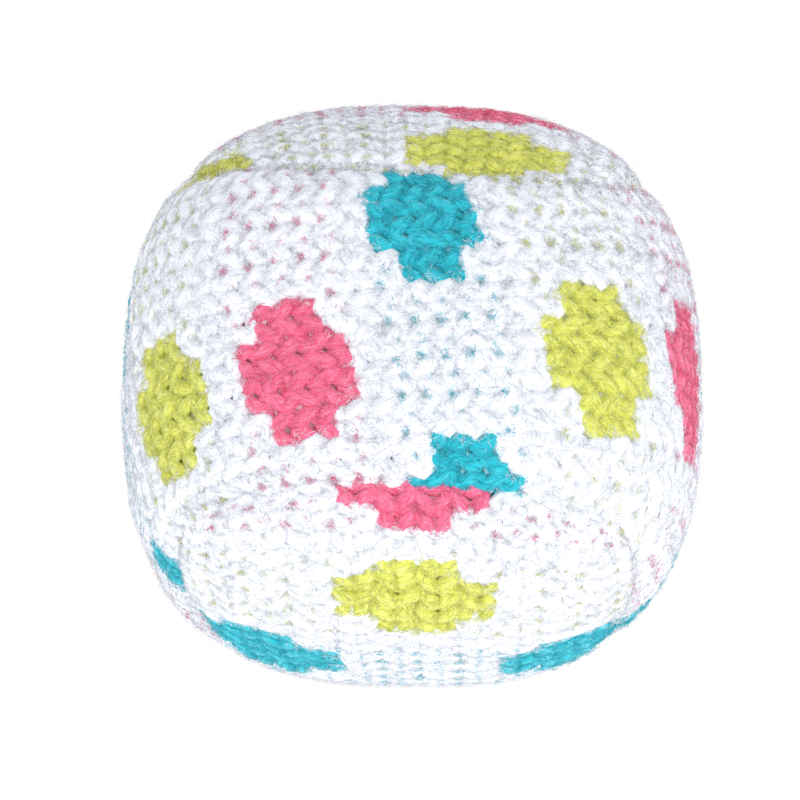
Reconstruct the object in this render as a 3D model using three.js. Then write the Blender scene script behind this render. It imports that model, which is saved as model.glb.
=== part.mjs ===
import * as THREE from 'three';

// A soft ball: two identical knitted strips, each shaped like a figure of eight, are sewn together
// along one long wandering seam and stuffed with fibre. Lengths are in millimetres, +Z is up, and the
// origin is the middle of the small flat on which the ball rests.

// Body of the ball
const ballWidth = 90.0;
const ballDepth = 87.2;
const ballHeight = 86.0;
const restFlatDepth = 0.5;
const squareness = 2.66;

// Knitted cloth
const clothThickness = 3.0;
const floatThickness = 0.9;
const layerClearance = 0.3;
const dotInset = 0.16;
const longestMitreShare = 2.5;
const dotRestLift = 0.2;

// Seam
const seamYarnDiameter = 2.2;
const seamYarnClearance = 0.5;
const grooveDepth = 2.6;
const grooveReach = 3.2;

// Course of the seam over the unit ball: where x*x - y*y + lift*z*(z*z - turn) - twist*x*y*z is zero
const seamLiftShare = 1.296;
const seamTurnShare = 0.431;
const seamTwistShare = 0.266;
const cornerAngle = THREE.MathUtils.degToRad(131);
const widestAngle = THREE.MathUtils.degToRad(75);

// Stitch chart: courses are rows across a strip, wales are the columns of stitches along it
const bandCourseCount = 6;
const bandOrder = ['lime', 'pink', 'turquoise'];
const courseCount = 62;
const firstWaleCount = -2;
const lastWaleCount = 14;
const waistHalfWaleCount = 4.3;
const endHalfWaleCount = 5.9;
const waistReachShare = 0.75;
const waleDriftShare = 1.78;
const waleDriftBendShare = 1.08;
const courseLeanShare = 0.2;
const leanPivotWaleCount = 7;
const pulledWaleCount = 4;
const halfStitchShare = 0.5;
const chevronShare = 0.35;
const edgeSnapShare = 0.3;

// How the stuffing pulls each strip: the wale in its middle, how far the courses stretch towards its
// ends, and how far the edge beyond the pivot wale slips along and spreads, in courses
const topPulls = { middleWaleCount: 5.88, stretchShare: 0.043, slipShare: 0.65, spreadShare: 4.0 };
const bottomPulls = { middleWaleCount: 6.03, stretchShare: -0.05, slipShare: 0, spreadShare: 0 };

// Rows of cells inside one band, in courses from its start, and the rows that the floats cover
const bandRows = [0, 1, 2.5, 4, 5];
const floatRows = [1, 4];

// A dot is four wales wide: for each wale, the first and the last course of its colour
const dotWales = [[1, 4], [0, 5], [0, 5], [1, 4]];
const dotHalfWaleCount = 2;
const dotCentres = { lime: [-1, 7], pink: [-1, 7], turquoise: [3, 11] };

// A cell of the chart is open cloth while it keeps at least a triangle of corners, each of three numbers
const fewestCornerCount = 3;
const coordinateCount = 3;

// Colours
const whiteYarn = new THREE.Color(0.93, 0.94, 0.97);
const fillingWhite = new THREE.Color(0.95, 0.95, 0.94);
const yarnColours = {
  lime: new THREE.Color(0.66, 0.72, 0.08),
  pink: new THREE.Color(0.96, 0.12, 0.26),
  turquoise: new THREE.Color(0.02, 0.52, 0.58),
};

const halfSize = new THREE.Vector3(ballWidth / 2, ballDepth / 2, ballHeight / 2);
const centreHeight = halfSize.z - restFlatDepth;
const seamYarnRadius = seamYarnDiameter / 2;
const edgeSetback = seamYarnRadius + seamYarnClearance;
const floatTop = clothThickness + layerClearance;
const floatBottom = floatTop + floatThickness;
const fillingInset = floatBottom + layerClearance;
const seamYarnInset = floatBottom - seamYarnRadius;

// The rounded cube that the stuffing makes: its radius and its outward normal along a direction
function ballPoint(direction) {
  const sum = ['x', 'y', 'z'].reduce(
    (total, axis) => total + (Math.abs(direction[axis]) / halfSize[axis]) ** squareness, 0);
  return direction.clone().divideScalar(sum ** (1 / squareness));
}

function ballNormal(point) {
  const slope = (axis) => Math.sign(point[axis])
    * Math.abs(point[axis] / halfSize[axis]) ** (squareness - 1) / halfSize[axis];
  return new THREE.Vector3(slope('x'), slope('y'), slope('z')).normalize();
}

// Distance of a direction from the seam, measured over the ball, positive on the top strip's side
function seamDistance(direction) {
  const { x, y, z } = direction;
  const value = x * x - y * y + seamLiftShare * z * (z * z - seamTurnShare) - seamTwistShare * x * y * z;
  const gradient = new THREE.Vector3(
    2 * x - seamTwistShare * y * z,
    -2 * y - seamTwistShare * x * z,
    seamLiftShare * (3 * z * z - seamTurnShare) - seamTwistShare * x * y,
  );
  gradient.addScaledVector(direction, -gradient.dot(direction));
  return value / gradient.length() * ballPoint(direction).length();
}

function grooveAt(direction) {
  return grooveDepth * Math.exp(-((seamDistance(direction) / grooveReach) ** 2));
}

// A strip's own directions: the top strip runs along X over the top, and the bottom strip is the same
// strip turned over, so that it runs along Y under the ball
function topDirection(along, across) {
  const ring = Math.cos(across);
  return new THREE.Vector3(Math.sin(along) * ring, -Math.sin(across), Math.cos(along) * ring);
}

function bottomDirection(along, across) {
  const top = topDirection(along, across);
  return new THREE.Vector3(-top.y, -top.x, -top.z);
}

function rootBetween(low, high, isInside) {
  const halvings = 44;
  for (let step = 0; step < halvings; step += 1) {
    const middle = (low + high) / 2;
    if (isInside(middle)) low = middle;
    else high = middle;
  }
  return (low + high) / 2;
}

// Edges of a strip, at a set distance from the seam: the long sides, and the two ends. A half turn
// carries the strip onto itself, so one side and one end give the others
function sideAngle(along, setback) {
  const isInside = (across) => seamDistance(topDirection(along, across)) > setback;
  return rootBetween(0, widestAngle, isInside);
}

function endAngle(across, setback, corner) {
  const isInside = (along) => seamDistance(topDirection(along, across)) > setback;
  return rootBetween(corner - setback / halfSize.x, Math.PI, isInside);
}

// A place on a strip, both shares from -1 to 1, as a direction
function stripDirection(directionOf, alongShare, acrossShare, setback) {
  const end = alongShare < 0 ? -1 : 1;
  const side = acrossShare < 0 ? -1 : 1;
  const corner = cornerAngle - setback / halfSize.x;
  const cornerAcross = sideAngle(end * side * corner, setback);
  const along = alongShare * endAngle(end * acrossShare * cornerAcross, setback, corner);
  const across = acrossShare * sideAngle(side * alongShare * corner, setback);
  return directionOf(along, across);
}

// Stitches on each side of a strip's middle: fewer at the waist than near the ends
function halfWalesAt(course) {
  const middleCourse = courseCount / 2;
  const spread = Math.min(Math.abs(course / middleCourse - 1) / waistReachShare, 1) ** 2;
  return waistHalfWaleCount + (endHalfWaleCount - waistHalfWaleCount) * spread;
}

// From the stitch chart to the shares along and across a strip. A stitch past the edge is in the seam,
// so it lies on the edge itself, and there the zigzag ends
function chartShares(course, zigzag, wale, pulls) {
  const middleCourse = courseCount / 2;
  const part = course / middleCourse - 1;
  const drift = pulls.middleWaleCount + part * (waleDriftShare - waleDriftBendShare * part * part);
  const edge = halfWalesAt(course);
  const isOnEdge = edge - Math.abs(wale - drift) < edgeSnapShare;
  const across = isOnEdge ? Math.sign(wale - drift) * edge : wale - drift;
  const at = isOnEdge ? course : course + zigzag;
  const plain = at / middleCourse - 1;
  const beyond = across + drift - leanPivotWaleCount;
  const pull = (Math.max(beyond, 0) / pulledWaleCount) ** 2;
  const slip = courseLeanShare * beyond + pull * (pulls.slipShare + pulls.spreadShare * plain);
  const shift = (slip / middleCourse + pulls.stretchShare * plain) * (1 - plain * plain);
  return [THREE.MathUtils.clamp(plain + shift, -1, 1), across / halfWalesAt(at)];
}

function placeAt(direction, inset, lowest) {
  const point = ballPoint(direction);
  point.addScaledVector(ballNormal(point), -inset);
  point.z = Math.max(point.z + centreHeight, lowest);
  return point;
}

// The grid of half stitches: its rows follow the courses, with the zigzag of knitted Vs
const rowCourses = [];
for (let start = 0; start < courseCount; start += bandCourseCount) {
  rowCourses.push(...bandRows.map((row) => start + row).filter((course) => course < courseCount));
}
rowCourses.push(courseCount);

const columnWales = [];
for (let wale = firstWaleCount; wale <= lastWaleCount; wale += halfStitchShare) columnWales.push(wale);

function chevronShift(row, column) {
  if (row === 0 || row === rowCourses.length - 1) return 0;
  return Number.isInteger(columnWales[column]) ? chevronShare : -chevronShare;
}

function makeGrid(directionOf, pulls) {
  const nodes = rowCourses.map((course, row) => columnWales.map((wale, column) => {
    const shares = chartShares(course, chevronShift(row, column), wale, pulls);
    const direction = stripDirection(directionOf, ...shares, edgeSetback);
    const place = placeAt(direction, 0, -ballHeight);
    return { direction, place, key: place.toArray().map((value) => value.toFixed(3)).join(' ') };
  }));
  const isOpen = (row, column) => {
    const corners = cellCorners(row, column).map(([r, c]) => nodes[r][c].key);
    return new Set(corners).size >= fewestCornerCount;
  };
  return { nodes, isOpen };
}

function cellCorners(row, column) {
  return [[row, column], [row, column + 1], [row + 1, column + 1], [row + 1, column]];
}

function cellNeighbours(row, column) {
  return [[row - 1, column], [row, column + 1], [row + 1, column], [row, column - 1]];
}

// The colour of a cell: its band's colour inside a dot, and white elsewhere
function cellBand(row) {
  return Math.floor(rowCourses[row] / bandCourseCount);
}

function bandColour(band) {
  return bandOrder[band % bandOrder.length];
}

function isDotCell(row, column) {
  const band = cellBand(row);
  const course = rowCourses[row] - band * bandCourseCount;
  const wale = Math.floor(columnWales[column]);
  return dotCentres[bandColour(band)].some((centre) => {
    const span = dotWales[wale - centre + dotHalfWaleCount];
    return span !== undefined && course >= span[0] && course < span[1];
  });
}

function isFloatCell(row) {
  const course = rowCourses[row] - cellBand(row) * bandCourseCount;
  return course >= floatRows[0] && course < floatRows[1];
}

// A solid made of cells of the grid, each from its top level down to its bottom level
function cellSolid(grid, levels, cellSpan, isOwn, lowest) {
  const rows = rowCourses.length - 1;
  const columns = columnWales.length - 1;
  const spanAt = (row, column) => {
    if (row < 0 || column < 0 || row >= rows || column >= columns) return null;
    return grid.isOpen(row, column) ? cellSpan(row, column) : null;
  };

  // Where a solid meets its neighbour in the cloth, its wall steps back square to the shared edge
  const steps = new Map();
  for (let row = 0; row < rows; row += 1) {
    for (let column = 0; column < columns; column += 1) {
      if (!isOwn(row, column) || !grid.isOpen(row, column)) continue;
      const corners = cellCorners(row, column).map(([r, c]) => grid.nodes[r][c]);
      cellNeighbours(row, column).forEach(([nextRow, nextColumn], side) => {
        const isInside = nextRow >= 0 && nextColumn >= 0 && nextRow < rows && nextColumn < columns;
        if (!isInside || isOwn(nextRow, nextColumn) || !grid.isOpen(nextRow, nextColumn)) return;
        const from = corners[side];
        const to = corners[(side + 1) % corners.length];
        if (from.key === to.key) return;
        const outward = ballNormal(ballPoint(from.direction));
        const inward = outward.cross(to.place.clone().sub(from.place)).normalize();
        for (const node of [from, to]) {
          steps.set(node.key, [...(steps.get(node.key) ?? []), inward]);
        }
      });
    }
  }

  const positions = [];
  const numbers = new Map();
  const vertex = ([row, column], level) => {
    const node = grid.nodes[row][column];
    const name = `${node.key} ${level}`;
    if (!numbers.has(name)) {
      const groove = level === 0 ? grooveAt(node.direction) : 0;
      const point = placeAt(node.direction, levels[level].inset + groove, lowest);
      const inwards = steps.get(node.key);
      if (inwards !== undefined && levels[level].stepsBack) {
        const [first, second = first] = inwards;
        const step = first.clone().add(second).divideScalar(1 + first.dot(second));
        point.addScaledVector(step.clampLength(0, longestMitreShare), dotInset);
        point.z = Math.max(point.z, lowest);
      }
      numbers.set(name, positions.length / coordinateCount);
      positions.push(...point.toArray());
    }
    return numbers.get(name);
  };

  const triangles = new Map();
  const addTriangle = (a, b, c) => {
    if (a === b || b === c || c === a) return;
    const first = Math.min(a, b, c);
    const turned = first === a ? [a, b, c] : first === b ? [b, c, a] : [c, a, b];
    const opposite = [turned[0], turned[2], turned[1]].join(' ');
    if (triangles.has(opposite)) triangles.delete(opposite);
    else triangles.set(turned.join(' '), turned);
  };
  const addQuad = (a, b, c, d) => {
    addTriangle(a, b, c);
    addTriangle(a, c, d);
  };

  for (let row = 0; row < rows; row += 1) {
    for (let column = 0; column < columns; column += 1) {
      const span = spanAt(row, column);
      if (span === null) continue;
      const [top, bottom] = span;
      const corners = cellCorners(row, column);
      const upper = corners.map((corner) => vertex(corner, top));
      const lower = corners.map((corner) => vertex(corner, bottom));
      addQuad(...upper);
      addQuad(lower[0], lower[3], lower[2], lower[1]);
      cellNeighbours(row, column).forEach(([nextRow, nextColumn], side) => {
        const next = spanAt(nextRow, nextColumn);
        const from = corners[side];
        const to = corners[(side + 1) % corners.length];
        for (let level = top; level < bottom; level += 1) {
          if (next !== null && level >= next[0] && level < next[1]) continue;
          addQuad(vertex(to, level), vertex(from, level), vertex(from, level + 1), vertex(to, level + 1));
        }
      });
    }
  }
  return solidFrom(positions, [...triangles.values()].flat());
}

// Keep only the corners in use, and give the solid its normals
function solidFrom(positions, index) {
  const used = new Map();
  const kept = [];
  const renumbered = index.map((number) => {
    if (!used.has(number)) {
      used.set(number, used.size);
      kept.push(...positions.slice(coordinateCount * number, coordinateCount * (number + 1)));
    }
    return used.get(number);
  });
  const geometry = new THREE.BufferGeometry();
  geometry.setAttribute('position', new THREE.Float32BufferAttribute(kept, coordinateCount));
  geometry.setIndex(renumbered);
  geometry.computeVertexNormals();
  return geometry;
}

function addPiece(group, name, geometry, colour, roughness) {
  const material = new THREE.MeshStandardMaterial({ color: colour, roughness, metalness: 0 });
  const mesh = new THREE.Mesh(geometry, material);
  mesh.name = name;
  group.add(mesh);
}

const clothRoughness = 0.95;

// White yarn of a strip: the cloth itself, with a hole for each dot of coloured stitches
function whiteKnit(grid) {
  const levels = [{ inset: 0, stepsBack: true }, { inset: clothThickness, stepsBack: true }];
  const isOwn = (row, column) => !isDotCell(row, column);
  const cellSpan = (row, column) => (isOwn(row, column) ? [0, 1] : null);
  return cellSolid(grid, levels, cellSpan, isOwn, 0);
}

// Coloured yarn of one band: its dots fill the holes, and its floats cross the back between them
function colourBand(grid, band) {
  const levels = [
    { inset: 0, stepsBack: true },
    { inset: floatTop, stepsBack: true },
    { inset: floatBottom, stepsBack: false },
  ];
  const isOwn = (row, column) => cellBand(row) === band && isDotCell(row, column);
  const cellSpan = (row, column) => {
    if (cellBand(row) !== band) return null;
    const isDot = isDotCell(row, column);
    if (isFloatCell(row)) return [isDot ? 0 : 1, 2];
    return isDot ? [0, 1] : null;
  };
  return cellSolid(grid, levels, cellSpan, isOwn, dotRestLift);
}

// Seam yarn: one closed round of yarn laid in the groove between the two strips
function seamYarn() {
  const sideSteps = 40;
  const endSteps = 16;
  const sides = 6;
  const route = [];
  const along = (share) => stripDirection(topDirection, share, 1, 0);
  const back = (share) => stripDirection(topDirection, share, -1, 0);
  const right = (share) => stripDirection(topDirection, 1, share, 0);
  const left = (share) => stripDirection(topDirection, -1, share, 0);
  const share = (step, steps) => 2 * step / steps - 1;
  for (let step = 0; step < sideSteps; step += 1) route.push(along(share(step, sideSteps)));
  for (let step = 0; step < endSteps; step += 1) route.push(right(-share(step, endSteps)));
  for (let step = 0; step < sideSteps; step += 1) route.push(back(-share(step, sideSteps)));
  for (let step = 0; step < endSteps; step += 1) route.push(left(share(step, endSteps)));

  const centres = route.map((direction) => placeAt(direction, seamYarnInset, -ballHeight));
  const positions = [];
  const index = [];
  const count = centres.length;
  for (let step = 0; step < count; step += 1) {
    const before = centres[(step + count - 1) % count];
    const after = centres[(step + 1) % count];
    const forward = after.clone().sub(before).normalize();
    const outward = ballNormal(ballPoint(route[step]));
    outward.addScaledVector(forward, -outward.dot(forward)).normalize();
    const sideways = forward.clone().cross(outward);
    for (let side = 0; side < sides; side += 1) {
      const turn = 2 * Math.PI * side / sides;
      const point = centres[step].clone();
      point.addScaledVector(outward, seamYarnRadius * Math.cos(turn));
      point.addScaledVector(sideways, seamYarnRadius * Math.sin(turn));
      positions.push(...point.toArray());
      const nextSide = (side + 1) % sides;
      const nextStep = (step + 1) % count;
      const corner = step * sides + side;
      const beside = step * sides + nextSide;
      const ahead = nextStep * sides + side;
      const across = nextStep * sides + nextSide;
      index.push(corner, beside, across, corner, across, ahead);
    }
  }
  return solidFrom(positions, index);
}

// Filling: loose fibre pressed into the rounded cube inside both strips
function fibreFilling() {
  const around = 32;
  const upward = 20;
  const positions = [0, 0, 1];
  for (let ring = 1; ring < upward; ring += 1) {
    const polar = Math.PI * ring / upward;
    for (let step = 0; step < around; step += 1) {
      const turn = 2 * Math.PI * step / around;
      positions.push(Math.sin(polar) * Math.cos(turn), Math.sin(polar) * Math.sin(turn), Math.cos(polar));
    }
  }
  positions.push(0, 0, -1);
  const index = [];
  const last = positions.length / coordinateCount - 1;
  const corner = (ring, step) => 1 + (ring - 1) * around + step % around;
  for (let step = 0; step < around; step += 1) {
    index.push(0, corner(1, step), corner(1, step + 1));
    index.push(last, corner(upward - 1, step + 1), corner(upward - 1, step));
    for (let ring = 1; ring < upward - 1; ring += 1) {
      const lower = ring + 1;
      index.push(corner(ring, step), corner(lower, step), corner(lower, step + 1));
      index.push(corner(ring, step), corner(lower, step + 1), corner(ring, step + 1));
    }
  }
  const placed = [];
  for (let start = 0; start < positions.length; start += coordinateCount) {
    const direction = new THREE.Vector3().fromArray(positions, start);
    placed.push(...placeAt(direction, fillingInset, -ballHeight).toArray());
  }
  return solidFrom(placed, index);
}

// Assembly
const strips = [
  { name: 'top_strip', directionOf: topDirection, pulls: topPulls },
  { name: 'bottom_strip', directionOf: bottomDirection, pulls: bottomPulls },
];

const ball = new THREE.Group();
addPiece(ball, 'fibre_filling', fibreFilling(), fillingWhite, clothRoughness);
for (const strip of strips) {
  const grid = makeGrid(strip.directionOf, strip.pulls);
  addPiece(ball, `${strip.name}_white_knit`, whiteKnit(grid), whiteYarn, clothRoughness);
  const bands = Math.ceil(courseCount / bandCourseCount);
  for (let band = 0; band < bands; band += 1) {
    const colour = bandColour(band);
    const number = Math.floor(band / bandOrder.length) + 1;
    const name = `${strip.name}_${colour}_band_${number}`;
    addPiece(ball, name, colourBand(grid, band), yarnColours[colour], clothRoughness);
  }
}
addPiece(ball, 'seam_yarn', seamYarn(), whiteYarn, clothRoughness);

export default ball;
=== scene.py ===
import math

import bpy
import numpy as np
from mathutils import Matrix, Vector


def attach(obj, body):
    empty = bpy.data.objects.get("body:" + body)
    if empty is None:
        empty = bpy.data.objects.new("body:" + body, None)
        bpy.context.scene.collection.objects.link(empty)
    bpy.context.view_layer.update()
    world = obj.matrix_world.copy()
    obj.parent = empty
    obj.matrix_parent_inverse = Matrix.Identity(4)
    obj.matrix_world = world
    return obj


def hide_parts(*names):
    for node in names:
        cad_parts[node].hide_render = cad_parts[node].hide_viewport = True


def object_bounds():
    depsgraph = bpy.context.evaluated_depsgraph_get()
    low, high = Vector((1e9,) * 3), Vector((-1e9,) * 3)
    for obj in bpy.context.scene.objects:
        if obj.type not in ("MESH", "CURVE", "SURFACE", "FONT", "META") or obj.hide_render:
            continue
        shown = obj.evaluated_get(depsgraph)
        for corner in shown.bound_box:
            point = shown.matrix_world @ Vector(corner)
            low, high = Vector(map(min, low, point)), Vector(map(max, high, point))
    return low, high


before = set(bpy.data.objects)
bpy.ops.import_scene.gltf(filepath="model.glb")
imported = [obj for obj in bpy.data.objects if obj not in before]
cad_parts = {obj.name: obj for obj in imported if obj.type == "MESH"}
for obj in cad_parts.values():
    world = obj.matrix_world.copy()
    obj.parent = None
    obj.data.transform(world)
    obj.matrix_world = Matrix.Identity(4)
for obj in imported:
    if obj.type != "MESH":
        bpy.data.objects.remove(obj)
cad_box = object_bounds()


# Camera. It looks down on the top of the ball from its near side, from far enough away that the ball
# shows hardly any perspective, as a small product on a studio table is photographed.
photo_pixels = 800
pixel_size = 0.000156
ball_middle_px = (412.0, 398.0)
camera_elevation = math.radians(73.6)
camera_distance = 1.4
sensor_width = 36.0

# The ball's half sizes and its middle, with the little flat that it rests on
rest_flat = 0.0005
box_low, box_high = np.array(cad_box[0]), np.array(cad_box[1])
ball_half = (box_high - box_low + np.array([0.0, 0.0, rest_flat])) / 2
ball_centre = np.array([0.0, 0.0, ball_half[2] - rest_flat])

view_back = np.array([0.0, -math.cos(camera_elevation), math.sin(camera_elevation)])
view_up = np.array([0.0, math.sin(camera_elevation), math.cos(camera_elevation)])
off_right = (photo_pixels / 2 - ball_middle_px[0]) * pixel_size
off_up = (ball_middle_px[1] - photo_pixels / 2) * pixel_size
camera_data = bpy.data.cameras.new("studio_camera")
camera_data.sensor_width = sensor_width
camera_data.lens = sensor_width * camera_distance / (photo_pixels * pixel_size)
camera = bpy.data.objects.new("studio_camera", camera_data)
bpy.context.scene.collection.objects.link(camera)
camera.location = ball_centre + view_back * camera_distance + view_up * off_up
camera.location.x += off_right
camera.rotation_euler = (math.pi / 2 - camera_elevation, 0.0, 0.0)
bpy.context.scene.camera = camera


# Filling. Loose polyester fibre pushed into the sewn cover until it is firm, which blows the cover
# up into a rounded cube. It shows only as a pale shade deep in the gaps between stitches.
squareness = 2.66
filling_depth = 0.0034


def ball_point(direction):
    total = (np.abs(direction / ball_half) ** squareness).sum(axis=-1, keepdims=True)
    return direction / total ** (1 / squareness)


def ball_normal(point):
    slope = np.sign(point) * np.abs(point / ball_half) ** (squareness - 1) / ball_half
    return slope / np.linalg.norm(slope, axis=-1, keepdims=True)


def deselect_all():
    for other in bpy.context.selected_objects:
        other.select_set(False)


deselect_all()
bpy.ops.mesh.primitive_ico_sphere_add(subdivisions=5, radius=1.0, location=(0, 0, 0))
filling = bpy.context.object
filling.name = "fibre_filling_wad"
corners = np.array([vertex.co[:] for vertex in filling.data.vertices])
wad_points = ball_point(corners)
wad_points = wad_points - ball_normal(wad_points) * filling_depth + ball_centre
filling.data.vertices.foreach_set("co", wad_points.astype(np.float32).ravel())
filling.data.update()
bpy.ops.object.shade_smooth()

wad_material = bpy.data.materials.new("loose_fibre")
wad_material.use_nodes = True
wad_shader = wad_material.node_tree.nodes["Principled BSDF"]
wad_shader.inputs["Roughness"].default_value = 1.0
wad_noise = wad_material.node_tree.nodes.new("ShaderNodeTexNoise")
wad_noise.inputs["Scale"].default_value = 900.0
wad_ramp = wad_material.node_tree.nodes.new("ShaderNodeValToRGB")
wad_ramp.color_ramp.elements[0].color = (0.88, 0.90, 0.94, 1)
wad_ramp.color_ramp.elements[1].color = (0.95, 0.96, 0.98, 1)
wad_place = wad_material.node_tree.nodes.new("ShaderNodeTexCoord")
wad_links = wad_material.node_tree.links
wad_links.new(wad_place.outputs["Object"], wad_noise.inputs["Vector"])
wad_links.new(wad_noise.outputs["Fac"], wad_ramp.inputs["Fac"])
wad_links.new(wad_ramp.outputs["Color"], wad_shader.inputs["Base Color"])
filling.data.materials.append(wad_material)
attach(filling, "root")
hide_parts("fibre_filling")


# Top and bottom strips. Both are the same piece of stockinette, wide at its ends and narrow at its waist.
# One lies over the top, and the other is turned over and lies under the ball. Each is knitted in white with
# bands of coloured dots, and their edges are sewn together all the way round.

# The seam's curve: how far it climbs, where it turns back, its skew, and the angles that it keeps within
seam_lift = 1.296
seam_turn = 0.431
seam_twist = 0.266
corner_angle = math.radians(131.0)
widest_angle = math.radians(75.0)
least_slope = 1e-6
root_rounds = 30

# The stitches of a strip: courses along it, and wales across it at its waist and at its ends
wale_pitch = 0.0058
course_pitch = 0.0040
course_count = 62
middle_course = course_count / 2
waist_half_wales = 4.4
end_half_wales = 5.9
waist_reach = 0.75
groove_depth = 0.0008
groove_reach = 0.0026

# How the stuffing pulls each strip: the wale in its middle and how that drifts and bends along it, and, in
# courses, how far it slides, leans and sags, and how the edge beyond the pivot wale slips and spreads
strips = ("top_strip", "bottom_strip")
lean_pivot_wale = 7.0
pulled_wales = 4.0
middle_wales = {"top_strip": 5.95, "bottom_strip": 6.07}
wale_drifts = {"top_strip": (2.01, 0.83), "bottom_strip": (1.38, 0.53)}
course_leans = {"top_strip": 0.30, "bottom_strip": -0.16}
course_slides = {"top_strip": 0.47, "bottom_strip": -6.0}
stretches = {"top_strip": (0.077, 0.077), "bottom_strip": (-0.013, 0.30)}
sags = {"top_strip": 0.0, "bottom_strip": -1.8}
sag_place, sag_reach = 0.45, 0.12
slips = {"top_strip": -0.14, "bottom_strip": -0.4}
spreads = {"top_strip": 12.0, "bottom_strip": -0.6}


def seam_distance(direction):
    x, y, z = direction[..., 0], direction[..., 1], direction[..., 2]
    value = x * x - y * y + seam_lift * z * (z * z - seam_turn) - seam_twist * x * y * z
    slope = np.stack([2 * x - seam_twist * y * z, -2 * y - seam_twist * x * z,
                      seam_lift * (3 * z * z - seam_turn) - seam_twist * x * y], axis=-1)
    slope -= direction * (slope * direction).sum(axis=-1, keepdims=True)
    reach = np.linalg.norm(ball_point(direction), axis=-1)
    return value / np.maximum(np.linalg.norm(slope, axis=-1), least_slope) * reach


def top_direction(along, across):
    ring = np.cos(across)
    return np.stack([np.sin(along) * ring, -np.sin(across), np.cos(along) * ring], axis=-1)


def strip_way(strip, along, across):
    way = top_direction(along, across)
    if strip == "bottom_strip":
        way = -way[..., [1, 0, 2]]
    return way


def root_between(low, high, is_inside):
    for _ in range(root_rounds):
        middle = (low + high) / 2
        inside = is_inside(middle)
        low, high = np.where(inside, middle, low), np.where(inside, high, middle)
    return (low + high) / 2


def side_angle(along):
    start = np.zeros_like(along)
    return root_between(start, start + widest_angle,
                        lambda a: seam_distance(top_direction(along, a)) > 0)


def end_angle(across):
    start = np.zeros_like(across)
    return root_between(start + corner_angle, start + math.pi,
                        lambda a: seam_distance(top_direction(a, across)) > 0)


corner_across = {side: float(side_angle(np.array([side * corner_angle]))[0]) for side in (1, -1)}


def strip_angles(along_share, across_share):
    """Angles over the ball, along a strip and across it, of a share of the way to its ends and sides."""
    end, side = np.where(along_share < 0, -1, 1), np.where(across_share < 0, -1, 1)
    corner = np.where(end * side > 0, corner_across[1], corner_across[-1])
    along = along_share * end_angle(end * across_share * corner)
    return along, across_share * side_angle(side * along_share * corner_angle)


def half_wales_at(course):
    spread = np.minimum(np.abs(course / middle_course - 1) / waist_reach, 1) ** 2
    return waist_half_wales + (end_half_wales - waist_half_wales) * spread


def wale_middle(strip, course):
    part = course / middle_course - 1
    drift, bend = wale_drifts[strip]
    return middle_wales[strip] + part * (drift - bend * part * part)


def cloth_place(strip, course, wale, raised):
    """Place and outward normal on a strip of a point of its chart, raised above the cloth's face. What lies
    past the strip's edge is tucked into the seam."""
    drift = wale_middle(strip, course)
    edge = half_wales_at(course)
    across = np.clip(wale - drift, -edge, edge)
    tucked = np.abs(wale - drift - across) * wale_pitch
    part = np.clip(course / middle_course - 1, -1, 1)
    tucked = tucked + np.maximum(np.abs(course / middle_course - 1) - 1, 0) * middle_course * course_pitch
    beyond = across + drift - lean_pivot_wale
    pull = (np.maximum(beyond, 0) / pulled_wales) ** 2
    slip = course_slides[strip] + course_leans[strip] * beyond
    slip = slip + pull * (slips[strip] + spreads[strip] * part) * (1 - part * part)
    slip = slip + sags[strip] * np.exp(-((part - sag_place) / sag_reach) ** 2)
    stretch = np.where(part < 0, *stretches[strip])
    shift = (slip / middle_course + stretch * part) * (1 - part * part)
    way = strip_way(strip, *strip_angles(np.clip(part + shift, -1, 1), across / edge))
    point = ball_point(way)
    normal = ball_normal(point)
    groove = groove_depth * np.exp(-(seam_distance(way) / groove_reach) ** 2)
    point = point + normal * (raised - groove - tucked)[..., None] + ball_centre
    return point, normal


# Yarn of the strips. Each course is one run of yarn bent into a row of loops, whose two legs show as a V,
# and the yarn passes behind the stitches of the other colour as a loose float. The white yarn is thicker.
yarn_radii = {"white": 0.00164, "dyed": 0.00132}
yarn_flats = {"white": 0.60, "dyed": 0.62}
loop_depths = {"white": 0.00045, "dyed": 0.00055}
edge_shares = {"white": 1.0, "dyed": 0.78}
loop_sinks = {"white": 0.0, "dyed": 0.0003}

# A loop, in courses and wales, and how the yarn narrows at its legs and swells at its heads
loop_height = 0.70
loop_middle = 0.05
loop_swing = 0.345
loop_taper = 0.12
loop_swell = 0.34
loop_unevenness = 0.04
loop_rise = 0.002

# A float: its width and sway, and how far it lies and sinks behind the stitches in front of it
float_width = 0.80
float_middle = 0.02
float_sway = 0.11
float_gap = 0.0008
float_gap_swing = 0.25
float_sink = 0.0011
float_slack = 0.0002

# The tube of the yarn: its rings and sides, how much of it is tucked into the seam, its girth on the fibre
# pattern, how uneven it is and how far it spreads in stretched cloth, and how high it stays off the table
loop_steps = 14
float_steps = 8
yarn_sides = 8
tucked_wales = 0.8
yarn_girth = 0.008
yarn_unevenness = 0.05
yarn_spreads = (0.8, 1.35)
width_rounds = 4
rest_height = 0.0001

# The dots: bands of five courses and one plain one, and the courses that each wale of a dot covers
band_courses = 6
band_colours = ["lime", "pink", "turquoise"]
dot_wales = [(1, 4), (0, 5), (0, 5), (1, 4)]
dot_centres = {"lime": (-1, 7), "pink": (-1, 7), "turquoise": (3, 11)}
jitter = np.random.default_rng(7)


def is_dot(course, wale):
    band_step = course % band_courses
    colour = band_colours[course // band_courses % len(band_colours)]
    for centre in dot_centres[colour]:
        column = wale - centre + len(dot_wales) // 2
        if 0 <= column < len(dot_wales) and dot_wales[column][0] <= band_step < dot_wales[column][1]:
            return True
    return False


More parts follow.
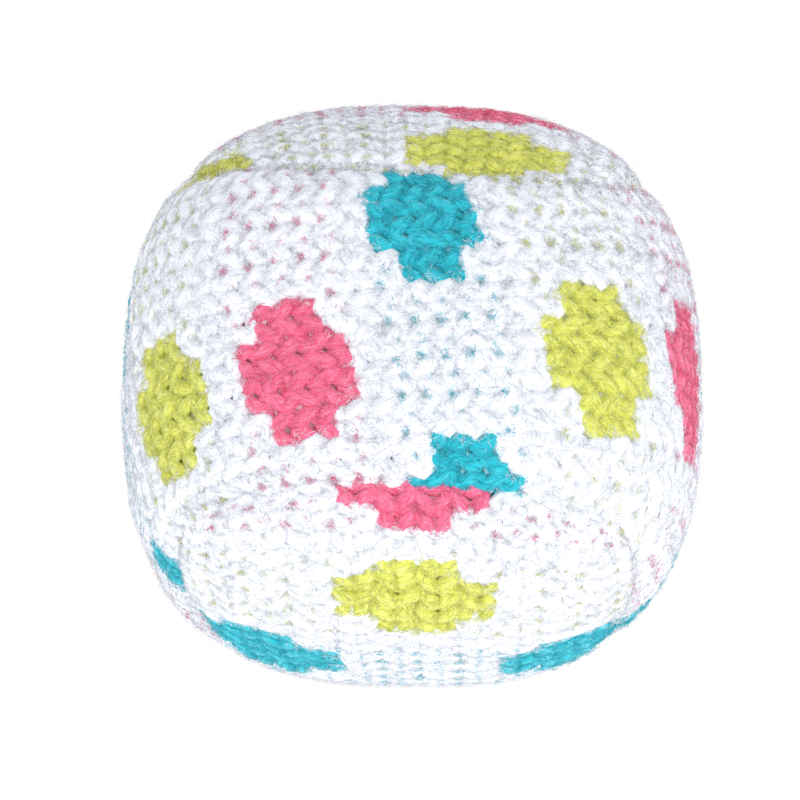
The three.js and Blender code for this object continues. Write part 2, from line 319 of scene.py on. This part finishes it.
def wale_range(strip, course):
    drift = wale_middle(strip, course + 0.5)
    edge = float(half_wales_at(np.array(course + 0.5)))
    return math.floor(drift - edge - tucked_wales + 0.5), math.ceil(drift + edge + tucked_wales - 0.5)


def yarn_run(strip, course, knits, kind):
    """Chart points of one course of yarn: a loop in each wale that it knits, and a float elsewhere."""
    first, last = wale_range(strip, course)
    loop_depth, edge_share = loop_depths[kind], edge_shares[kind]
    loop_inset = yarn_radii[kind] * yarn_flats[kind] + loop_depth + loop_sinks[kind]
    courses, wales, raised, shows, girths = [], [], [], [], []
    for wale in range(first, last):
        own = knits(course, wale)
        count = loop_steps if own else float_steps
        turn = np.arange(count) / count * 2 * math.pi
        if own:
            sway = jitter.normal(0, loop_unevenness, 3)
            low = 1.0 if knits(course - 1, wale) else edge_share
            high = 1.0 if knits(course + 1, wale) else edge_share
            reach = loop_height * np.where(np.cos(turn) > 0, low, high)
            wales.append(wale + turn / (2 * math.pi) + loop_swing * np.sin(2 * turn)
                         + sway[0] * (1 - np.cos(turn)))
            courses.append(course + loop_middle - reach * np.cos(turn) + sway[1] * (1 - np.cos(turn)))
            raised.append(-loop_inset - loop_depth * np.cos(2 * turn) + sway[2] * loop_rise)
        else:
            wales.append(wale + turn / (2 * math.pi))
            courses.append(course + float_middle - float_sway * np.cos(turn))
            gap = float_gap * (1 + float_gap_swing - float_gap_swing * np.cos(turn))
            raised.append(-yarn_radii[kind] * float_width - gap - float_sink * np.sin(turn) ** 2
                          + jitter.normal(0, float_slack))
        shows.append(np.full(count, own))
        girth = 1 - loop_taper * np.sin(2 * turn) ** 2 + loop_swell * np.cos(turn) ** 4
        girths.append(girth if own else np.full(count, float_width))
    return [np.concatenate(part) for part in (courses, wales, raised, shows, girths)]


def smooth_run(values, rounds=1):
    for _ in range(rounds):
        padded = np.concatenate([values[:1], values, values[-1:]])
        values = (padded[:-2] + 2 * padded[1:-1] + padded[2:]) / 4
    return values


def mesh_object(name, points, faces, uv_name, corner_uv):
    """A smooth mesh object with a map of its face corners, which is zero on the faces that it leaves."""
    mesh = bpy.data.meshes.new(name)
    mesh.from_pydata(points.tolist(), [], faces)
    layer = mesh.uv_layers.new(name=uv_name)
    spare = len(mesh.loops) - len(corner_uv)
    corner_uv = np.concatenate([corner_uv, np.zeros((spare, 2))])
    layer.data.foreach_set("uv", corner_uv.astype(np.float32).ravel())
    mesh.polygons.foreach_set("use_smooth", np.ones(len(mesh.polygons), dtype=bool))
    mesh.update()
    piece = bpy.data.objects.new(name, mesh)
    bpy.context.scene.collection.objects.link(piece)
    return piece


def yarn_object(name, runs):
    """Closed tubes along the runs. The map holds each corner's way along the yarn and round it."""
    points, quads, caps, corner_uv = [], [], [], []
    start = 0
    ring_turns = np.arange(yarn_sides) / yarn_sides * 2 * math.pi
    for centre, normal, width, thickness in runs:
        count = len(centre)
        ahead = np.gradient(centre, axis=0)
        ahead /= np.linalg.norm(ahead, axis=1, keepdims=True)
        outward = normal - ahead * (normal * ahead).sum(axis=1, keepdims=True)
        outward /= np.linalg.norm(outward, axis=1, keepdims=True)
        beside = np.cross(ahead, outward)
        ring = (outward[:, None] * (np.cos(ring_turns)[None, :, None] * thickness[:, None, None])
                + beside[:, None] * (np.sin(ring_turns)[None, :, None] * width[:, None, None]))
        points.append((centre[:, None] + ring).reshape(-1, 3))
        steps = np.arange(count - 1)[:, None] * yarn_sides
        side, after = np.arange(yarn_sides)[None], (np.arange(yarn_sides)[None] + 1) % yarn_sides
        corners = [steps + side, steps + after, steps + yarn_sides + after, steps + yarn_sides + side]
        quads.append(np.stack(corners, axis=-1).reshape(-1, 4) + start)
        caps.append([start + side for side in range(yarn_sides)][::-1])
        caps.append([start + (count - 1) * yarn_sides + side for side in range(yarn_sides)])
        lengths = np.concatenate([[0], np.cumsum(np.linalg.norm(np.diff(centre, axis=0), axis=1))])
        here, there = lengths[:-1, None] + 0 * side, lengths[1:, None] + 0 * side
        wrapped = ((side + yarn_sides // 2) % yarn_sides - yarn_sides // 2) / yarn_sides
        low = wrapped * yarn_girth + 0 * here
        high = low + yarn_girth / yarn_sides
        corner_uv.append(np.stack([here, low, here, high, there, high, there, low], axis=-1).reshape(-1, 2))
        start += count * yarn_sides
    places = np.concatenate(points)
    places[:, 2] = np.maximum(places[:, 2], rest_height)
    return mesh_object(name, places, np.concatenate(quads).tolist() + caps, "yarn_way",
                       np.concatenate(corner_uv))


def knit_piece(name, strip, courses, knits, kind):
    """One colour's yarn in some courses of a strip, as a mesh, and the places where it shows."""
    runs, seen = [], []
    for course in courses:
        course_at, wale_at, raised, shows, girths = yarn_run(strip, course, knits, kind)
        centre, normal = cloth_place(strip, course_at, wale_at, raised)
        centre = smooth_run(centre)
        beside, _ = cloth_place(strip, course_at, wale_at + 0.5, raised)
        spread = np.linalg.norm(beside - centre, axis=1) * 2 / wale_pitch
        width = smooth_run(np.clip(spread, *yarn_spreads), width_rounds) * yarn_radii[kind] * girths
        wobble = 1 + yarn_unevenness * smooth_run(jitter.normal(0, 1, len(width)), 2)
        width = smooth_run(width * wobble)
        runs.append((centre, normal, width, width * yarn_flats[kind]))
        seen.append((*runs[-1], shows))
    return yarn_object(name, runs), seen


# Colours of the yarns in even light: base, a light colour laid on the raised fibre streaks as painted
# highlight, and a deep colour laid in the low streaks as painted shade, mixed with the fibres' own uneven
# tone.
# The white yarn is brushed softer than the dyed ones, so its single fibres stand out less.
yarn_looks = {
    "white": ((0.91, 0.93, 0.96), (0.95, 0.96, 0.98), (0.88, 0.90, 0.94)),
    "pink": ((1.0, 0.18, 0.33), (1.0, 0.38, 0.54), (0.94, 0.10, 0.21)),
    "lime": ((0.80, 0.82, 0.13), (0.90, 0.92, 0.36), (0.64, 0.66, 0.07)),
    "turquoise": ((0.0, 0.58, 0.68), (0.10, 0.76, 0.86), (0.0, 0.44, 0.52)),
}
white_bump, dyed_bump = 0.25, 0.6
bump_height = 0.0003
streak_lays = ((0.45, 0.0024, 0.00030), (-0.35, 0.0020, 0.00026))


def brushed_yarn_group():
    """Fine streaks of fibre that run along a yarn, as a height and as a colour mask that paints shade in the
    low streaks and highlight on the raised ones.
    """
    group = bpy.data.node_groups.new("brushed_yarn", "ShaderNodeTree")
    for socket in ("Light", "Height"):
        group.interface.new_socket(name=socket, in_out="OUTPUT", socket_type="NodeSocketFloat")
    place = group.nodes.new("ShaderNodeUVMap")
    place.uv_map = "yarn_way"
    output = group.nodes.new("NodeGroupOutput")
    lays = []
    for turn, length, breadth in streak_lays:
        lay = group.nodes.new("ShaderNodeMapping")
        lay.vector_type = "TEXTURE"
        lay.inputs["Rotation"].default_value = (0.0, 0.0, turn)
        lay.inputs["Scale"].default_value = (length, breadth, 1.0)
        streaks = group.nodes.new("ShaderNodeTexNoise")
        streaks.inputs["Scale"].default_value = 1.0
        streaks.inputs["Detail"].default_value = 3.0
        streaks.inputs["Roughness"].default_value = 0.6
        streaks.inputs["Distortion"].default_value = 0.5
        group.links.new(place.outputs["UV"], lay.inputs["Vector"])
        group.links.new(lay.outputs["Vector"], streaks.inputs["Vector"])
        lays.append(streaks.outputs["Fac"])
    crossed = group.nodes.new("ShaderNodeMath")
    crossed.operation = "MAXIMUM"
    group.links.new(lays[0], crossed.inputs[0])
    group.links.new(lays[1], crossed.inputs[1])
    group.links.new(crossed.outputs[0], output.inputs["Light"])
    group.links.new(crossed.outputs[0], output.inputs["Height"])
    return group


brushed_yarn = brushed_yarn_group()


def yarn_material(name, colour):
    base, light, deep = yarn_looks[colour]
    material = bpy.data.materials.new(name)
    material.use_nodes = True
    nodes, links = material.node_tree.nodes, material.node_tree.links
    shader = nodes["Principled BSDF"]
    shader.inputs["Roughness"].default_value = 0.9
    shader.inputs["Sheen Weight"].default_value = 0.25
    shader.inputs["Sheen Roughness"].default_value = 0.6
    fibres = nodes.new("ShaderNodeGroup")
    fibres.node_tree = brushed_yarn
    # The ramp paints the yarn darker where its bump is low and lighter where it is raised: painted shade and
    # highlight, mixed with the fibres' own tone.
    ramp = nodes.new("ShaderNodeValToRGB")
    ramp.color_ramp.elements[0].position = 0.42
    ramp.color_ramp.elements[0].color = (*deep, 1)
    ramp.color_ramp.elements[1].position = 0.70
    ramp.color_ramp.elements[1].color = (*light, 1)
    middle = ramp.color_ramp.elements.new(0.55)
    middle.color = (*base, 1)
    bump = nodes.new("ShaderNodeBump")
    bump.inputs["Strength"].default_value = white_bump if colour == "white" else dyed_bump
    bump.inputs["Distance"].default_value = bump_height
    links.new(fibres.outputs["Light"], ramp.inputs["Fac"])
    links.new(ramp.outputs["Color"], shader.inputs["Base Color"])
    links.new(fibres.outputs["Height"], bump.inputs["Height"])
    links.new(bump.outputs["Normal"], shader.inputs["Normal"])
    return material


yarn_materials = {colour: yarn_material(f"{colour}_brushed_yarn", colour) for colour in yarn_looks}
shown_yarn = {}
for strip in strips:
    piece, seen = knit_piece(f"{strip}_white_stitches", strip, range(course_count),
                             lambda course, wale: not is_dot(course, wale), "white")
    piece.data.materials.append(yarn_materials["white"])
    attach(piece, "root")
    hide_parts(f"{strip}_white_knit")
    shown_yarn[(strip, "white", 0)] = seen
    for band in range(math.ceil(course_count / band_courses)):
        colour = band_colours[band % len(band_colours)]
        number = band // len(band_colours) + 1
        first = band * band_courses
        rows = range(first, min(first + band_courses - 1, course_count))
        piece, seen = knit_piece(f"{strip}_{colour}_stitches_{number}", strip, rows, is_dot, "dyed")
        piece.data.materials.append(yarn_materials[colour])
        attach(piece, "root")
        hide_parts(f"{strip}_{colour}_band_{number}")
        shown_yarn[(strip, colour, number)] = seen


# Seam yarn. One length of the white yarn, laced back and forth between the two edges and drawn tight, so
# that it lies hidden at the bottom of the groove all along the wandering seam.
seam_inset = 0.0030
lace_reach = 0.0011
lace_steps = 520
lace_turns = 130
seam_radius = 0.0007
seam_parts = 10


def seam_round(steps):
    """Directions along the seam, once round the top strip's edge: four parts a side, and one an end."""
    side_steps, end_steps = steps * 4 // seam_parts, steps // seam_parts
    side_share = np.linspace(-1, 1, side_steps, endpoint=False)
    end_share = np.linspace(-1, 1, end_steps, endpoint=False)
    shares = [(side_share, 1.0), (1.0, -end_share), (-side_share, -1.0), (-1.0, end_share)]
    ways = []
    for along_share, across_share in shares:
        count = np.size(along_share) if np.size(along_share) > 1 else np.size(across_share)
        angles = strip_angles(np.full(count, along_share), np.full(count, across_share))
        ways.append(top_direction(*angles))
    return np.concatenate(ways)


seam_ways = seam_round(lace_steps)
seam_places = ball_point(seam_ways)
seam_normals = ball_normal(seam_places)
seam_ahead = np.roll(seam_places, -1, axis=0) - np.roll(seam_places, 1, axis=0)
seam_ahead /= np.linalg.norm(seam_ahead, axis=1, keepdims=True)
seam_beside = np.cross(seam_ahead, seam_normals)
lace_turn = np.arange(len(seam_places)) / len(seam_places) * 2 * math.pi * lace_turns
lace_centre = (seam_places + ball_centre - seam_normals * seam_inset
               + seam_beside * (np.sin(lace_turn) * lace_reach)[:, None])
lace_centre = np.concatenate([lace_centre, lace_centre[:1]])
lace_normal = np.concatenate([seam_normals, seam_normals[:1]])
lace_width = np.full(len(lace_centre), seam_radius)
seam_yarn = yarn_object("seam_lacing", [(lace_centre, lace_normal, lace_width, lace_width)])
seam_yarn.data.materials.append(yarn_materials["white"])
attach(seam_yarn, "root")
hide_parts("seam_yarn")


# Fuzz. The brushed yarn is wrapped in a mat of fine short fibres, which lie mostly along its legs, bridge
# the gaps between stitches and feather the edges of the dots. Where a coloured yarn floats behind the
# white, some of its fibres work through the holes and show as pale specks.
most_fibres = 33000
fibres_per_point = {"white": 6.8, "pink": 7.5, "lime": 7.5, "turquoise": 7.5}
fibre_cover = 0.42

# Every fibre: its length's shape, its bow and lift, its thickness, how deep it is rooted, and how the few
# that stray stand up
length_shape = 2.0
fibre_bow = 0.10
fibre_lift, least_lift = 0.00012, 0.00004
fibre_thicknesses = (0.00005, 0.00010)
root_depth = 0.00005
stray_share = 0.03
stray_rises, stray_lift = (0.0002, 0.0008), 0.4
stray_thickness = 0.00004

# Fibres on the yarn: how far round it and along it they start, how they veer, and their length
round_spread, round_limit = 0.6, 1.3
fibre_slide = 0.0003
fibre_veer = 0.45
fibre_least, fibre_spread = 0.0010, 0.00055

# Fibres in the holes: how they cross them, their length, depth and shades
tuft_veer, tuft_veer_spread = 0.9, 0.5
tuft_least, tuft_spread = 0.0008, 0.0002
tuft_depth = 0.0007
tuft_step = 0.2
pale_shades = (0.2, 0.9)

# The two holes of a stitch, beside it and inside its V, and the fibres in each: of a float behind it, inside
# a dot, between plain white stitches, as a white veil over a float, and as white fibres beside a dot
hole_places = ((0.0, -0.09), (0.5, 0.13))
hole_fibres = {"float": (18, 7), "dot": (22, 14), "plain": (14, 12), "veil": (12, 9), "edge": (32, 20)}
hole_spreads = {"float": 0.09, "dot": 0.09, "plain": 0.09, "veil": 0.09, "edge": 0.18}
edge_rows, edge_columns = (-2, -1, 1), (-2, -1, 0, 1)

# Colours of the fibres in even light: the deep ones and the light ones
fuzz_looks = {
    "white": ((0.90, 0.92, 0.96), (0.95, 0.96, 0.98)),
    "pink": ((0.96, 0.12, 0.25), (1.0, 0.44, 0.60)),
    "lime": ((0.72, 0.74, 0.10), (0.92, 0.93, 0.40)),
    "turquoise": ((0.0, 0.48, 0.57), (0.12, 0.78, 0.88)),
}


def fuzz_material(name, colour):
    deep, light = fuzz_looks[colour]
    material = bpy.data.materials.new(name)
    material.use_nodes = True
    nodes, links = material.node_tree.nodes, material.node_tree.links
    shader = nodes["Principled BSDF"]
    shader.inputs["Roughness"].default_value = 0.9
    shader.inputs["Alpha"].default_value = fibre_cover
    shade = nodes.new("ShaderNodeUVMap")
    shade.uv_map = "fibre_shade"
    split = nodes.new("ShaderNodeSeparateXYZ")
    ramp = nodes.new("ShaderNodeValToRGB")
    ramp.color_ramp.elements[0].color = (*deep, 1)
    ramp.color_ramp.elements[1].color = (*light, 1)
    links.new(shade.outputs["UV"], split.inputs["Vector"])
    links.new(split.outputs["X"], ramp.inputs["Fac"])
    links.new(ramp.outputs["Color"], shader.inputs["Base Color"])
    return material


def yarn_fibres(seen_runs, per_point):
    """Places, outward ways, lays and lengths of fibres scattered over the yarn that shows."""
    gathered = []
    for centre, normal, width, thickness, shows in seen_runs:
        ahead = np.gradient(centre, axis=0)
        ahead /= np.linalg.norm(ahead, axis=1, keepdims=True)
        gathered.append([values[shows] for values in (centre, normal, width, thickness, ahead)])
    centre, normal, width, thickness, ahead = (np.concatenate(part) for part in zip(*gathered))
    count = int(len(centre) * per_point)
    pick = jitter.integers(0, len(centre), count)
    centre, normal, width, thickness, ahead = (
        values[pick] for values in (centre, normal, width, thickness, ahead))
    outward = normal - ahead * (normal * ahead).sum(axis=1, keepdims=True)
    outward /= np.linalg.norm(outward, axis=1, keepdims=True)
    beside = np.cross(ahead, outward)
    round_yarn = np.clip(jitter.normal(0, round_spread, count), -round_limit, round_limit)[:, None]
    up = outward * np.cos(round_yarn) + beside * np.sin(round_yarn)
    slid = jitter.normal(0, fibre_slide, count)[:, None]
    base = (centre + ahead * slid + outward * np.cos(round_yarn) * thickness[:, None]
            + beside * np.sin(round_yarn) * width[:, None])
    veer = jitter.normal(0, fibre_veer, count)[:, None]
    lay = ahead * np.cos(veer) + np.cross(up, ahead) * np.sin(veer)
    length = (fibre_least + jitter.gamma(length_shape, fibre_spread, count))[:, None]
    return base, up, lay, length, jitter.random(count)


def tuft_fibres(strip, colour):
    """Fibres of one colour in the holes between stitches, from the yarn round a hole or from a float."""
    courses, wales = [], []
    for course in range(course_count):
        own_band = band_colours[course // band_courses % len(band_colours)] == colour
        floats = course % band_courses < band_courses - 1
        first, last = wale_range(strip, course)
        for wale in range(first, last):
            for hole, (aside, above) in enumerate(hole_places):
                in_dot = is_dot(course, wale) and (aside > 0 or is_dot(course, wale - 1))
                by_dot = is_dot(course, wale) or (aside == 0 and is_dot(course, wale - 1))
                kind = None
                if colour == "white" and not in_dot:
                    kind = "veil" if floats and not by_dot else "plain"
                    beside_dot = any(is_dot(course + row, wale + column)
                                     for row in edge_rows for column in edge_columns)
                    kind = "edge" if beside_dot else kind
                elif own_band and in_dot:
                    kind = "dot"
                elif own_band and floats and not by_dot:
                    kind = "float"
                if kind:
                    fibres = hole_fibres[kind][hole]
                    wales.append(wale + aside + jitter.normal(0, hole_spreads[kind], fibres))
                    courses.append(course + above + jitter.normal(0, hole_spreads[kind], fibres))
    courses, wales = np.concatenate(courses), np.concatenate(wales)
    count = len(courses)
    raised = jitter.uniform(-tuft_depth, 0.0, count)
    base, up = cloth_place(strip, courses, wales, raised)
    above, _ = cloth_place(strip, courses + tuft_step, wales, raised)
    lay = above - base
    lay /= np.linalg.norm(lay, axis=1, keepdims=True)
    crossed = jitter.choice((-tuft_veer, tuft_veer), count)
    veer = (crossed + jitter.normal(0, tuft_veer_spread, count))[:, None]
    lay = lay * np.cos(veer) + np.cross(up, lay) * np.sin(veer)
    length = (tuft_least + jitter.gamma(length_shape, tuft_spread, count))[:, None]
    return base, up, lay, length, jitter.uniform(*pale_shades, count)


def fuzz_piece(name, base, up, lay, length, shade):
    """Closed spindle-shaped fibres, each bowed a little at its middle."""
    lowest = base[:, 2] - np.abs(lay[:, 2] * length[:, 0] / 2)
    clear = lowest > 3 * rest_height
    base, up, lay, length, shade = (values[clear] for values in (base, up, lay, length, shade))
    count = len(base)
    side = np.cross(up, lay)
    bow = jitter.normal(0, fibre_bow, count)[:, None] * length
    lift = np.abs(jitter.normal(0, fibre_lift, count))[:, None] + least_lift
    stray = (jitter.random(count) < stray_share)[:, None]
    rise = np.where(stray, jitter.uniform(*stray_rises, count)[:, None], -root_depth)
    thick = np.where(stray[:, 0], stray_thickness, jitter.uniform(*fibre_thicknesses, count))
    thick = thick[:, None]
    middle = base + side * bow + up * (lift + np.maximum(rise, 0) * stray_lift)
    points = [base - lay * length / 2 - up * root_depth]
    for turn in (0, 2 * math.pi / 3, 4 * math.pi / 3):
        points.append(middle + (up * math.cos(turn) + side * math.sin(turn)) * thick)
    points.append(base + lay * length / 2 + up * rise)
    points = np.stack(points, axis=1).reshape(-1, 3)
    spindle = np.array([[0, 1, 2], [0, 2, 3], [0, 3, 1], [4, 2, 1], [4, 3, 2], [4, 1, 3]])
    faces = (spindle[None] + np.arange(count)[:, None, None] * 5).reshape(-1, 3)
    shade = np.repeat(shade, spindle.size)
    return mesh_object(name, points, faces.tolist(), "fibre_shade", np.stack([shade, shade], axis=1))


for colour, per_point in fibres_per_point.items():
    look = fuzz_material(f"{colour}_stray_fibre", colour)
    for strip in strips:
        runs = [run for (own_strip, own_colour, _), seen in shown_yarn.items()
                if own_strip == strip and own_colour == colour for run in seen]
        groups = zip(yarn_fibres(runs, per_point), tuft_fibres(strip, colour))
        fibres = [np.concatenate(parts) for parts in groups]
        for part in range(math.ceil(len(fibres[0]) / most_fibres)):
            some = slice(part * most_fibres, (part + 1) * most_fibres)
            piece = fuzz_piece(f"{strip}_{colour}_fuzz_{part + 1}", *(values[some] for values in fibres))
            piece.data.materials.append(look)
            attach(piece, "root")


# Floor, backdrop and studio light. A pale table under a white sky, with two broad soft lamps: the brighter
# one stands on the near side, and the other one on the right.
floor_white_share = 0.985
deselect_all()
bpy.ops.mesh.primitive_plane_add(size=6.0, location=(0, 0, 0))
floor = bpy.context.object
floor.name = "studio_floor"
floor_material = bpy.data.materials.new("pale_floor")
floor_material.use_nodes = True
floor_nodes, floor_links = floor_material.node_tree.nodes, floor_material.node_tree.links
floor_shader = floor_nodes["Principled BSDF"]
floor_shader.inputs["Base Color"].default_value = (0.85, 0.85, 0.86, 1)
floor_shader.inputs["Roughness"].default_value = 0.9
floor_white = floor_nodes.new("ShaderNodeEmission")
floor_white.inputs["Color"].default_value = (1, 1, 1, 1)
floor_white.inputs["Strength"].default_value = 1.0
floor_rays = floor_nodes.new("ShaderNodeLightPath")
floor_mix = floor_nodes.new("ShaderNodeMixShader")
floor_seen = floor_nodes.new("ShaderNodeMath")
floor_seen.operation = "MULTIPLY"
floor_seen.inputs[1].default_value = floor_white_share
floor_any = floor_nodes.new("ShaderNodeMath")
floor_any.operation = "ADD"
floor_any.use_clamp = True
floor_output = floor_nodes["Material Output"]
floor_links.new(floor_rays.outputs["Is Camera Ray"], floor_any.inputs[0])
floor_links.new(floor_rays.outputs["Is Glossy Ray"], floor_any.inputs[1])
floor_links.new(floor_any.outputs[0], floor_seen.inputs[0])
floor_links.new(floor_seen.outputs[0], floor_mix.inputs["Fac"])
floor_links.new(floor_shader.outputs[0], floor_mix.inputs[1])
floor_links.new(floor_white.outputs[0], floor_mix.inputs[2])
floor_links.new(floor_mix.outputs[0], floor_output.inputs["Surface"])
floor.data.materials.append(floor_material)

world = bpy.data.worlds.new("studio_world")
bpy.context.scene.world = world
world.use_nodes = True
world_nodes, world_links = world.node_tree.nodes, world.node_tree.links
world_light = world_nodes["Background"]
world_light.inputs["Color"].default_value = (0.93, 0.94, 1.0, 1)
world_light.inputs["Strength"].default_value = 1.0
world_seen = world_nodes.new("ShaderNodeBackground")
world_seen.inputs["Color"].default_value = (1, 1, 1, 1)
world_seen.inputs["Strength"].default_value = 1.0
world_rays = world_nodes.new("ShaderNodeLightPath")
world_mix = world_nodes.new("ShaderNodeMixShader")
world_links.new(world_rays.outputs["Is Camera Ray"], world_mix.inputs["Fac"])
world_links.new(world_light.outputs[0], world_mix.inputs[1])
world_links.new(world_seen.outputs[0], world_mix.inputs[2])
world_links.new(world_mix.outputs[0], world_nodes["World Output"].inputs["Surface"])


def soft_lamp(name, place, size, power):
    data = bpy.data.lights.new(name, "AREA")
    data.shape = "DISK"
    data.size = size
    data.energy = power
    lamp = bpy.data.objects.new(name, data)
    bpy.context.scene.collection.objects.link(lamp)
    lamp.location = place
    toward = np.array(place) - ball_centre
    flat = math.hypot(toward[0], toward[1])
    turned = math.atan2(toward[1], toward[0]) + math.pi / 2
    lamp.rotation_euler = (math.atan2(flat, toward[2]), 0.0, turned)


soft_lamp("key_lamp", place=(-0.25, -1.0, 0.66), size=1.2, power=5.9)
soft_lamp("fill_lamp", place=(0.85, -0.25, 0.84), size=1.2, power=3.0)

bpy.context.scene.view_settings.view_transform = "Standard"
